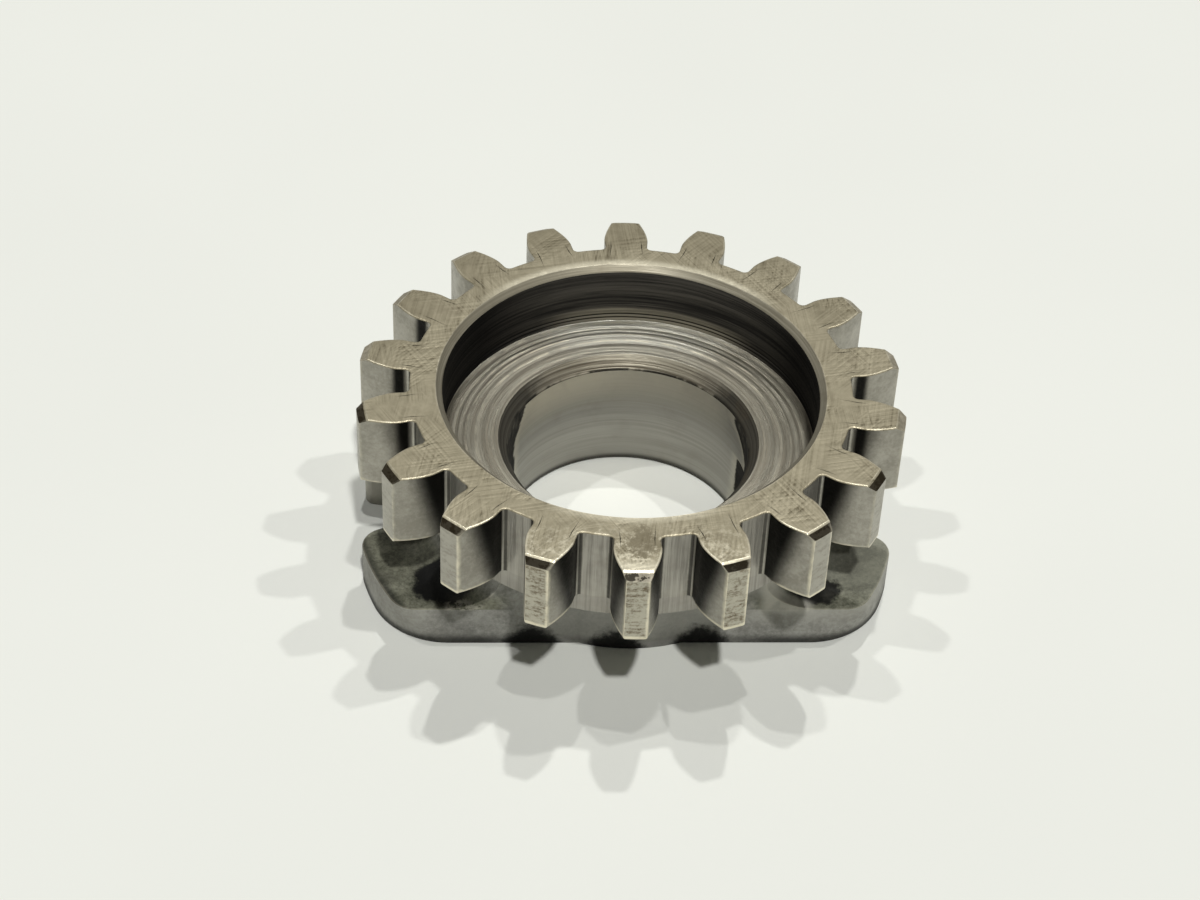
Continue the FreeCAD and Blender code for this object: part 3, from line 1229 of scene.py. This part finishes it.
@dataclass(frozen=True)
class DarkSidedBore(TurnedSteel):
    """Smooth bore with a dark film down each side, ragged at its edge, a painted sheen under its upper edge
    and painted shade at its foot.
    """

    dark_film: Colour = (0.004, 0.004, 0.003)
    thin_dark_film: Colour = (0.018, 0.017, 0.013)
    rim: float = 11.3

    def edge(self, shader: Shader) -> Value:
        """Distance in millimetres from the ragged edge of the film.

        Args:
            shader: The node tree.

        Returns:
            The distance, below 2 inside the film.
        """
        x, y, z, _ = shader.axes
        ragged = y + (shader.noise(0.5, 4.0, 0.7) - 0.5) * 1.6 - z.step(8.2, 10.9) * 3.4
        left = ragged - 1.7 + z.step(8.5, 10.5) * 1.2
        right = ragged + 0.9 - z.step(7.6, 7.0) * 2.5
        return left + (right - left) * x.step(-2.0, 2.0)

    def film(self, shader: Shader) -> Value:
        """Dark film down each side."""
        return self.edge(shader).step(2.1, 1.7) * shader.y.step(-7.0, -3.0)

    def coats(self, shader: Shader, marks: Value) -> list[Coat]:
        """Dark film on both sides, a painted sheen under the upper edge at the rear and on the left, painted
        shade at the foot, and a paler band along the film's edge.

        Args:
            shader: The node tree.
            marks: Tone of the rings.

        Returns:
            Share and colour of each coat.
        """
        x, y, z, _ = shader.axes
        # Painted sheen under the upper edge, at the rear and on the left.
        upper = z.step(self.rim - 5.0, self.rim) * (y.step(4.0, 9.0) * 0.42 + x.step(2.0, -7.0) * 0.45)
        return [
            (upper, self.worn_and_highlit),
            # Painted shade at the foot of the bore.
            (z.step(1.0, 0.35) * 0.8, self.dark_film),
            (self.edge(shader).step(3.4, 2.2) * 0.22, self.worn_and_highlit),
            (self.film(shader), shader.mix(marks, self.dark_film, self.thin_dark_film)),
        ]


@dataclass(frozen=True)
class LeadIn(TurnedSteel):
    """Lead-in cone with painted shade at the sides and the front, so that it is bright only towards the rear.
    """

    # Dark of the painted shade at the sides.
    dark_film: Colour = (0.016, 0.015, 0.011)

    def film(self, shader: Shader) -> Value:
        """Painted shade as a matt dark film at the sides and the front."""
        return (shader.y + (shader.noise(0.5) - 0.5) * 3.0).step(10.0, 6.5)

    def coats(self, shader: Shader, marks: Value) -> list[Coat]:
        """Rings that sink into painted shade at the sides, and a broken dark line at the bore."""
        line = shader.radius.step(11.32, 11.2) * shader.noise(0.35).step(0.4, 0.5)
        return [(self.film(shader) * 0.88, self.dark_film), (line * 0.95, self.dark_film)]


@dataclass(frozen=True)
class ForgedFlange(SteelFinish):
    """Flange whose side wall is paler than its olive top, with painted light, painted shade and painted
    shadows of the teeth.
    """

    top_dark: Colour = (0.065, 0.067, 0.046)
    top_light: Colour = (0.25, 0.25, 0.185)
    # Painted light: the next five colours.
    top_lit: Colour = (0.33, 0.33, 0.27)
    rubbed_and_lit: Colour = (0.42, 0.41, 0.36)
    pale: Colour = (0.6, 0.59, 0.54)
    corner: Colour = (0.66, 0.63, 0.53)
    crescent: Colour = (0.62, 0.6, 0.52)
    burr: Colour = (0.6, 0.57, 0.48)
    # Black of the painted shade and painted shadows.
    painted_shade: Colour = (0.001, 0.001, 0.001)
    thickness: float = 4.4
    # Places across the front flat of the painted shadows of the three front teeth.
    tooth_shadow_places: tuple[float, ...] = (-8.8, -1.1, 6.9)

    def shadow_blot(self, shader: Shader, x: float, y: float, width: float) -> Value:
        """Share of a painted shadow with a ragged edge, seen from above.

        Args:
            shader: The node tree.
            x: Middle of the shadow across the flange, in millimetres.
            y: Middle of the shadow in depth.
            width: Half the shadow's width, and the raggedness of its edge.

        Returns:
            1 in the shadow and 0 outside.
        """
        away = shader.x - x
        deep = (shader.y - y) * 1.35
        edge = (away * away + deep * deep).root() + (shader.noise(0.45, 4.0, 0.7) - 0.5) * width
        return edge.step(width * 1.12, width * 0.88)

    def tooth_shadow(self, shader: Shader, x: float) -> Value:
        """Share of a painted shadow of a tooth, a ragged mound at the foot of the front flat."""
        mound = (shader.x - x) * (shader.x - x) * 0.3 + shader.z + (shader.noise(0.9, 4.0, 0.75) - 0.5) * 3.0
        return mound.step(3.2, 1.4) * shader.y.step(-12.0, -13.0) * 0.97

    def top(self, shader: Shader, marks: Value) -> Socket:
        """Colour of the flange's top, with painted light at one corner and painted shade along the other's
        rim.

        Args:
            shader: The node tree.
            marks: Tone of the clouds.

        Returns:
            The colour.
        """
        x, y, _, radius = shader.axes
        # Painted light at the right wing's corner.
        rubbed_and_lit = (x.step(14.0, 18.0) * y.step(-13.0, -10.0) * 0.35, self.top_lit)
        # Painted shade along the left wing's rim.
        rim = (radius.step(24.2, 25.1) * x.step(-12.0, -18.0) * 0.7, self.painted_shade)
        return shader.layers(shader.mix(marks, self.top_dark, self.top_light), rubbed_and_lit, rim)

    def coats(self, shader: Shader, marks: Value) -> list[Coat]:
        """Pale wall with painted shade along its foot, painted shadows of the teeth and patches of painted
        light and shade, an olive top, painted shadows of the teeth in the wings' fillets, a painted crescent
        of light and a burr.

        Args:
            shader: The node tree.
            marks: Tone of the clouds.

        Returns:
            Share and colour of each coat.
        """
        x, y, z, _ = shader.axes
        raised = z - self.thickness
        face = raised.step(-0.12, -0.04) * raised.step(2.6, 0.8) * (x * x).step(100.0, 150.0)
        above = z.step(self.thickness - 0.15, self.thickness)
        crescent = y.step(-12.7, -13.4) * x.step(11.4, 12.6) * x.step(17.2, 15.8) * z.step(3.5, 4.6)
        burr = abs(x + 14.9).step(1.9, 1.3) * y.step(-13.5, -13.8) * z.step(4.15, 4.3) * z.step(5.2, 4.7)
        return [
            # Painted light in the middle of the front flat.
            (abs(x).step(11.0, 7.0) * y.step(-10.0, -13.0) * 0.4, self.pale),
            # Painted shade along the foot of the wall.
            (z.step(1.5, 0.3) * (abs(x).step(9.0, 14.0) * 0.35 + 0.5), self.painted_shade),
            # Painted shade on the left of the front wall.
            (x.step(-7.0, -12.0) * x.step(-20.0, -15.0) * 0.13, self.painted_shade),
            # Painted light on the left wing's wall.
            (x.step(-15.0, -20.0) * z.step(0.6, 2.0) * 0.4, self.rubbed_and_lit),
            # Painted light on the left rear stub.
            (x.step(-20.0, -23.0) * y.step(1.0, 4.0) * 0.6, self.corner),
            # Painted shade towards the rear.
            (y.step(-11.0, -6.0) * 0.12, self.painted_shade),
            # Painted shadows of the three front teeth at the foot of the front flat.
            *((self.tooth_shadow(shader, place), self.painted_shade) for place in self.tooth_shadow_places),
            # Painted light on the right of the wall.
            (z.step(1.4, 4.0) * x.step(8.0, 13.0) * 0.6, self.rubbed_and_lit),
            (face, self.top(shader, marks)),
            # Painted shadows of the teeth on the two wings' tops, in the fillets.
            (self.shadow_blot(shader, -16.2, -11.2, 3.5) * above * 0.99, self.painted_shade),
            (self.shadow_blot(shader, 16.4, -11.3, 2.9) * above * 0.97, self.painted_shade),
            # Painted crescent of light on the right wing.
            (crescent * 0.75, self.crescent),
            (burr * shader.noise(1.3, 3.0, 0.7).step(0.42, 0.55) * 0.7, self.burr),
        ]


@dataclass(frozen=True)
class StreakedSteel(SteelFinish):
    """Fine upright lines left by the cutter between two teeth, with painted shade between the side teeth."""

    # Dark of the painted shade between the side teeth.
    dark_film: Colour = (0.02, 0.018, 0.015)

    def pattern(self, shader: Shader) -> Value:
        """Lines along Z with a faint cloud."""
        fine = shader.noise(3.2, 4.0, 0.7, shader.vector(shader.x, shader.y, shader.z * 0.03))
        return (fine * 0.7 + shader.noise(0.35) * 0.3).step(0.34, 0.62)

    def coats(self, shader: Shader, marks: Value) -> list[Coat]:
        """Painted shade between the side teeth."""
        sides = abs(shader.x).step(10.5, 13.5) * shader.y.step(9.0, 4.0) * shader.z.step(11.0, 12.5)
        return [(sides * 0.38, self.dark_film)]


@dataclass(frozen=True)
class SmudgedLand(SteelFinish):
    """Short level smudges down a tooth's tip, faint at the sides."""

    bare: Colour = (0.4, 0.385, 0.335)

    def pattern(self, shader: Shader) -> Value:
        """Level bars of uneven length, with grain.

        Args:
            shader: The node tree.

        Returns:
            Tone and height of the bars, between 0 and 1.
        """
        place = shader.vector(shader.x * 0.5, shader.y * 0.5, shader.z * 2.2)
        bars = shader.noise(1.1, 5.0, 0.75, place)
        return (bars * 0.65 + shader.noise(3.0, 3.0, 0.7) * 0.35).step(0.36, 0.55)

    def coats(self, shader: Shader, marks: Value) -> list[Coat]:
        """Bare steel towards the side teeth."""
        return [(abs(shader.x).step(9.0, 16.0) * 0.75, self.bare)]


@dataclass(frozen=True)
class BrownChamfer(SteelFinish):
    """Chamfer that is stained brown on the front teeth and bare on the others."""

    def stained(self, shader: Shader) -> Value:
        """Brown towards -Y, thinner on the middle tooth and broken by bare specks.

        Args:
            shader: The node tree.

        Returns:
            Share of stain, between 0 and 1.
        """
        x, y, z, _ = shader.axes
        front = (y - x.step(0.0, -20.0) * 6.0).step(-6.0, -10.0)
        middle = (x * x).step(9.0, 4.0)
        specks = shader.noise(0.9, 4.0, 0.7, shader.vector(x, y, z * 2.0)).step(0.52, 0.46)
        return front * ((1.0 - middle) * (specks * 0.06 + 0.94) + middle * specks * 0.9)


FINISHES: dict[Zone, SteelFinish] = {
    Zone.TOP_FACE: GroundFace(
        "ground_top", (0.17, 0.148, 0.095), (0.52, 0.465, 0.33), roughness=0.4, wear_share=0.68
    ),
    Zone.TIP_CHAMFER: BrownChamfer(
        "tip_chamfer", (0.2, 0.18, 0.13), (0.42, 0.38, 0.29), stain=(0.012, 0.008, 0.002), wear_share=0.35,
        roughness=0.65, metallic=0.0, specular=0.12
    ),
    Zone.TIP_LAND: SmudgedLand(
        "tip_land", (0.17, 0.135, 0.085), (0.48, 0.455, 0.37), roughness=0.5, stain_share=0.15
    ),
    Zone.FLANK: ToothFlank(
        "tooth_flank", (0.3, 0.285, 0.24), (0.43, 0.41, 0.355), stain_share=0.12, wear_share=0.7, specular=0.2
    ),
    Zone.ROOT_LAND: StreakedSteel("root_land", (0.27, 0.255, 0.22), (0.41, 0.39, 0.34)),
    Zone.SHOULDER: StreakedSteel(
        "shoulder", (0.26, 0.246, 0.215), (0.37, 0.353, 0.31), stain_share=0.15, wear_share=0.5
    ),
    Zone.UNDERSIDE: SteelFinish("underside", (0.1, 0.095, 0.08), (0.22, 0.21, 0.18), wear_share=0.3),
    Zone.MOUTH: TurnedSteel(
        "mouth", (0.2, 0.18, 0.13), (0.38, 0.35, 0.27), roughness=0.45, relief=0.00001, wear_share=0.7
    ),
    Zone.COUNTERBORE_WALL: ShadedWall(
        "counterbore_wall", (0.02, 0.019, 0.017), (0.11, 0.102, 0.086), wear_share=0.2, metallic=0.0,
        roughness=0.75, specular=0.08, stain_share=0.0
    ),
    Zone.COUNTERBORE_FLOOR: TurnedFloor(
        "counterbore_floor", (0.265, 0.24, 0.185), (0.44, 0.415, 0.335), roughness=0.38, relief=0.00003,
        fine=7.0, broad=2.2, stain_share=0.1
    ),
    Zone.LEAD_IN: LeadIn("lead_in", (0.12, 0.1, 0.07), (0.5, 0.46, 0.36), wear_share=0.6, specular=0.2),
    Zone.BORE: DarkSidedBore(
        "bore_wall", (0.285, 0.277, 0.243), (0.345, 0.336, 0.3), roughness=0.42, roughness_spread=0.06,
        metallic=0.6, stain_share=0.12, relief=0.000004, fine=2.6, specular=0.25
    ),
    Zone.FLANGE: ForgedFlange(
        "flange", (0.2, 0.196, 0.175), (0.4, 0.395, 0.355), roughness=0.6, metallic=0.0, wear_share=0.12,
        specular=0.2, stain=(0.1, 0.095, 0.075), stain_share=0.4
    ),
}


@dataclass
class MagnetoDriveGear:
    """The whole gear as one closed mesh."""

    ring: ToothedRing = field(default_factory=ToothedRing)
    flange: DriveFlange = field(default_factory=DriveFlange)

    def build(self) -> bpy.types.Object:
        """Join the two grids with two bands and dress the zones.

        Returns:
            The finished object, which rides on the root body and replaces the solid.
        """
        upper = self.ring.patch()
        lower = self.flange.patch()
        upper_count, lower_count = upper.points.shape[1], lower.points.shape[1]
        lower_start = upper.zones.size + upper_count
        points = np.concatenate([upper.points.reshape(-1, 3), lower.points.reshape(-1, 3)]) * MM
        upper_turns = self.turns(upper.points[-1])
        lower_turns = self.turns(lower.points[0])
        apart = np.abs(np.angle(np.exp(1j * (lower_turns - upper_turns[0]))))
        shift = -int(np.argmin(apart))
        upper_angles = np.unwrap(upper_turns)
        lower_angles = np.unwrap(np.roll(lower_turns, shift))
        upper_ring = np.arange(upper_count)
        lower_ring = np.roll(np.arange(lower_count), shift)
        shoulder_points = lower_start - upper_count + upper_ring
        bore_points = len(points) - lower_count + lower_ring
        shoulder = band_faces(upper_angles, lower_angles, shoulder_points, lower_start + lower_ring)
        bore = band_faces(lower_angles, upper_angles, bore_points, upper_ring)
        parts = [grid_faces(upper.points, 0), grid_faces(lower.points, lower_start), shoulder, bore]
        bands = [Zone.SHOULDER] * len(shoulder) + [Zone.BORE] * len(bore)
        zones = np.concatenate([upper.zones.reshape(-1), lower.zones.reshape(-1), bands])

        mesh = bpy.data.meshes.new(NODE + "_skin")
        mesh.from_pydata(points.tolist(), [], [face for part in parts for face in part.tolist()])
        mesh.polygons.foreach_set("material_index", zones.astype(np.int32))
        worn_and_highlit = np.concatenate([upper.worn_and_highlit.reshape(-1), lower.worn_and_highlit.reshape(-1)])
        mesh.attributes.new(WEAR_AND_HIGHLIGHT, "FLOAT", "POINT").data.foreach_set("value", worn_and_highlit.astype(np.float32))
        self.clean(mesh)
        for zone in Zone:
            mesh.materials.append(FINISHES[zone].build())
        gear = bpy.data.objects.new("gear_skin", mesh)
        bpy.context.scene.collection.objects.link(gear)
        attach(gear, "root")
        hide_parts(NODE)
        return gear

    def turns(self, ring: Array) -> Array:
        """Angle of each of a ring's points."""
        return np.arctan2(ring[:, 1], ring[:, 0])

    def clean(self, mesh: bpy.types.Mesh) -> None:
        """Merge points that coincide, drop empty faces and smooth all but the sharp edges.

        Args:
            mesh: The joined grids and bands.
        """
        work = bmesh.new()
        work.from_mesh(mesh)
        bmesh.ops.remove_doubles(work, verts=work.verts, dist=MERGE_DISTANCE)
        bmesh.ops.dissolve_degenerate(work, dist=MERGE_DISTANCE, edges=work.edges)
        work.to_mesh(mesh)
        work.free()
        mesh.polygons.foreach_set("use_smooth", np.ones(len(mesh.polygons), dtype=bool))
        mesh.set_sharp_from_angle(angle=SHARP_ANGLE)
        mesh.update()


@dataclass(frozen=True)
class Lamp:
    """A distant lamp, placed by the way it throws shadows, with its angles in degrees."""

    name: str
    throw: tuple[float, float]
    elevation: float
    power: float
    spread: float = 1.6

    def build(self) -> None:
        """Add the lamp, aimed so that shadows fall along its throw."""
        data = bpy.data.lights.new(self.name, "SUN")
        data.energy = self.power
        data.angle = math.radians(self.spread)
        lamp = bpy.data.objects.new(self.name, data)
        flat = Vector((*self.throw, 0.0)).normalized()
        tilt = math.radians(self.elevation)
        aim = flat * math.cos(tilt) - Vector((0.0, 0.0, 1.0)) * math.sin(tilt)
        lamp.rotation_euler = aim.to_track_quat("-Z", "Y").to_euler()
        bpy.context.scene.collection.objects.link(lamp)


@dataclass
class Studio:
    """Pale floor, lamps and surroundings, in metres."""

    floor_colour: Colour = (0.845, 0.855, 0.79)
    floor_shade: float = 0.97
    floor_roughness: float = 0.85
    floor_specular: float = 0.1
    floor_size: float = 6.0
    world_light: tuple[Colour, float] = ((0.95, 0.97, 1.0), 0.045)
    mirrored_light: tuple[Colour, float] = ((0.86, 0.86, 0.81), 0.55)
    lamps: tuple[Lamp, ...] = (
        Lamp("front_lamp", (-1.05, 6.6), 60.1, 1.66, 2.6),
        Lamp("back_lamp", (-1.5, -7.1), 68.6, 0.75),
        Lamp("right_lamp", (-9.6, -3.0), 61.5, 0.53),
        Lamp("left_lamp", (7.8, -1.5), 66.7, 0.47),
    )

    def build(self) -> None:
        """Make the floor, the lamps and the world."""
        half = self.floor_size / 2
        mesh = bpy.data.meshes.new("floor")
        corners = [(-half, -half, 0.0), (half, -half, 0.0), (half, half, 0.0), (-half, half, 0.0)]
        mesh.from_pydata(corners, [], [(0, 1, 2, 3)])
        mesh.materials.append(self.floor_material())
        floor = bpy.data.objects.new("floor", mesh)
        bpy.context.scene.collection.objects.link(floor)
        for lamp in self.lamps:
            lamp.build()
        self.surroundings()

    def floor_material(self) -> bpy.types.Material:
        """Plain pale paper with a faint unevenness.

        Returns:
            The floor's material.
        """
        shader = Shader("pale_floor")
        shade = tuple(channel * self.floor_shade for channel in self.floor_colour)
        colour = shader.mix(shader.noise(0.009).step(0.3, 0.7), self.floor_colour, shade)
        inputs = {"Base Color": colour, "Roughness": self.floor_roughness}
        return shader.finish({**inputs, "Specular IOR Level": self.floor_specular})

    def surroundings(self) -> None:
        """Even pale surroundings that light softly, and are brighter to the camera and in gloss."""
        nodes = Nodes(bpy.data.worlds.new("studio"))
        rays = nodes.node("ShaderNodeLightPath", {}, {}).outputs
        seen = {0: rays["Is Camera Ray"], 1: rays["Is Glossy Ray"]}
        inputs = {0: nodes.value("ShaderNodeMath", {"operation": "MAXIMUM"}, seen)}
        for place, (colour, strength) in enumerate((self.world_light, self.mirrored_light), start=1):
            light = {"Color": (*colour, 1.0), "Strength": strength}
            inputs[place] = nodes.node("ShaderNodeBackground", {}, light).outputs[0]
        blend = nodes.node("ShaderNodeMixShader", {}, inputs)
        nodes.node("ShaderNodeOutputWorld", {}, {"Surface": blend.outputs[0]})
        bpy.context.scene.world = nodes.owner


@dataclass(frozen=True)
class PhotoCamera:
    """Camera at the photograph's viewing angle, in metres and degrees, with its lens in millimetres."""

    azimuth: float = -2.6688
    elevation: float = 41.6941
    roll: float = 2.6181
    distance: float = 0.247056
    slide_right: float = -0.0025107
    slide_up: float = 0.0016969
    aim_height: float = 0.008742
    lens: float = 79.5276
    sensor_width: float = 36.0
    clip_start: float = 0.01

    def build(self) -> None:
        """Place the camera and make it the scene's own."""
        az, el, roll = (math.radians(angle) for angle in (self.azimuth, self.elevation, self.roll))
        back = Vector((math.sin(az) * math.cos(el), -math.cos(az) * math.cos(el), math.sin(el)))
        level = Vector((0.0, 0.0, 1.0)).cross(back).normalized()
        upright = back.cross(level)
        right = level * math.cos(roll) + upright * math.sin(roll)
        above = upright * math.cos(roll) - level * math.sin(roll)
        aim = Vector((0.0, 0.0, self.aim_height))
        place = aim + right * self.slide_right + above * self.slide_up + back * self.distance
        data = bpy.data.cameras.new("photo_camera")
        data.lens = self.lens
        data.sensor_width = self.sensor_width
        data.clip_start = self.clip_start
        camera = bpy.data.objects.new("photo_camera", data)
        turn = Matrix((right, above, back)).transposed().to_4x4()
        camera.matrix_world = Matrix.Translation(place) @ turn
        bpy.context.scene.collection.objects.link(camera)
        bpy.context.scene.camera = camera


def main() -> None:
    """Build the gear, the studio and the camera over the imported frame."""
    logging.basicConfig(level=logging.INFO, format="%(name)s: %(message)s")
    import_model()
    scene = bpy.context.scene
    scene.view_settings.view_transform = "Standard"
    gear = MagnetoDriveGear().build()
    LOG.info("gear skin: %d points, %d faces", len(gear.data.vertices), len(gear.data.polygons))
    Studio().build()
    LOG.info("studio: floor and lamps")
    PhotoCamera().build()
    LOG.info("camera placed")


if __name__ == "__main__":
    main()
